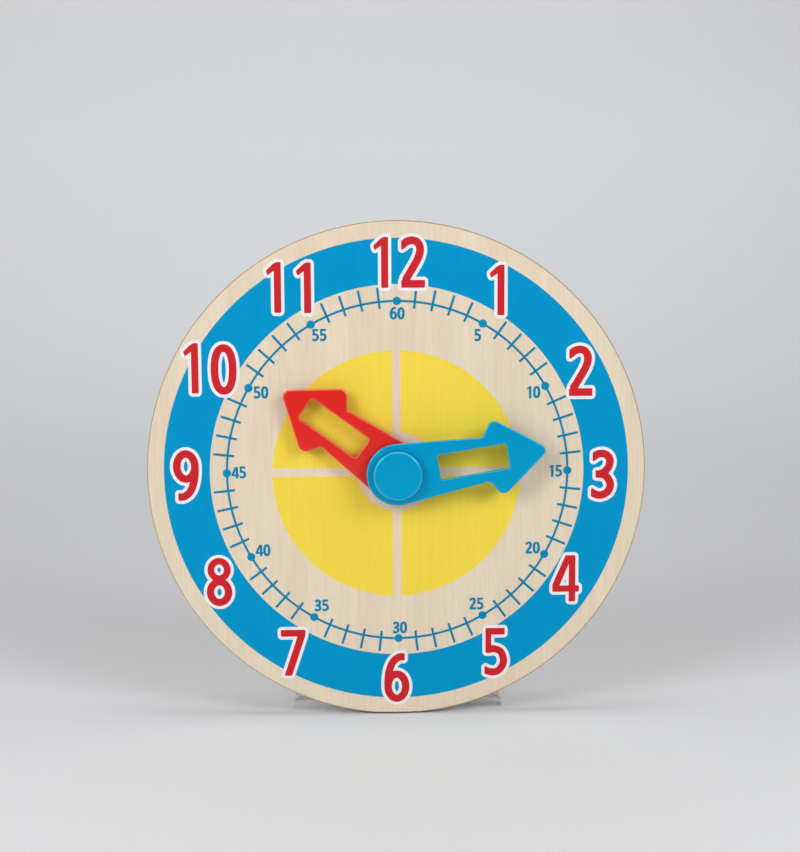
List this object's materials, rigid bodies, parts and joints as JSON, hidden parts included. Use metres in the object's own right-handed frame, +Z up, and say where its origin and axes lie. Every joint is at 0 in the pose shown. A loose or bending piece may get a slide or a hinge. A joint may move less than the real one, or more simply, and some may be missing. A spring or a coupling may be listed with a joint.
{
  "type": "geared teaching clock",
  "caption": "Round plywood clock dial on a bent clear stand, with red hour and blue minute arrow hands linked by a gear train behind the dial.",
  "frame": {"origin": "on the floor, under the middle of the clock's bounding box", "axes": "+X to the right as the dial is read, +Z up, the dial faces -Y"},
  "size_m": [0.3, 0.1066, 0.3],
  "materials": {
    "plywood": "satin clear coat over pale birch",
    "blue_plastic": "glossy moulded",
    "red_plastic": "glossy moulded",
    "clear_plastic": "clear polished acrylic",
    "grey_plastic": "fine matte moulded",
    "white_acetal": "satin moulded acetal",
    "brass": "turned",
    "steel": "zinc plated",
    "fibre": "vulcanised fibre"
  },
  "bodies": {
    "dial": {"dial_board": "plywood", "centre_bush": "brass", "nut_washer": "steel", "dial_nut": "brass", "idler_post": "steel", "idler_washer": "steel", "friction_washer": "fibre", "case_base": "grey_plastic", "case_cover": "clear_plastic", "case_screws": "steel", "stand_screws": "steel", "stand_washers": "steel", "stand_bracket": "clear_plastic"},
    "minute": {"minute_arbor": "steel", "cannon_pinion": "white_acetal", "minute_hand": "blue_plastic", "knob_cap": "blue_plastic", "arbor_clip": "steel"},
    "idler": {"idler_wheel": "white_acetal", "idler_pinion": "white_acetal"},
    "hour": {"hour_pipe": "brass", "hour_wheel": "white_acetal", "hour_hand": "red_plastic"}
  },
  "joints": [
    {"name": "minute_turn", "type": "hinge", "parent": "dial", "child": "minute", "pos_m": [0, -0.0337, 0.15], "axis": [0, 1, 0], "continuous": true},
    {"name": "idler_turn", "type": "hinge", "parent": "dial", "child": "idler", "pos_m": [0, -0.0147, 0.18], "axis": [0, 1, 0], "continuous": true},
    {"name": "hour_turn", "type": "hinge", "parent": "dial", "child": "hour", "pos_m": [0, -0.0337, 0.15], "axis": [0, 1, 0], "continuous": true}
  ],
  "couplings": [
    {"joint": "idler_turn", "follows": "minute_turn", "ratio": -0.33333},
    {"joint": "hour_turn", "follows": "minute_turn", "ratio": 0.083333}
  ]
}
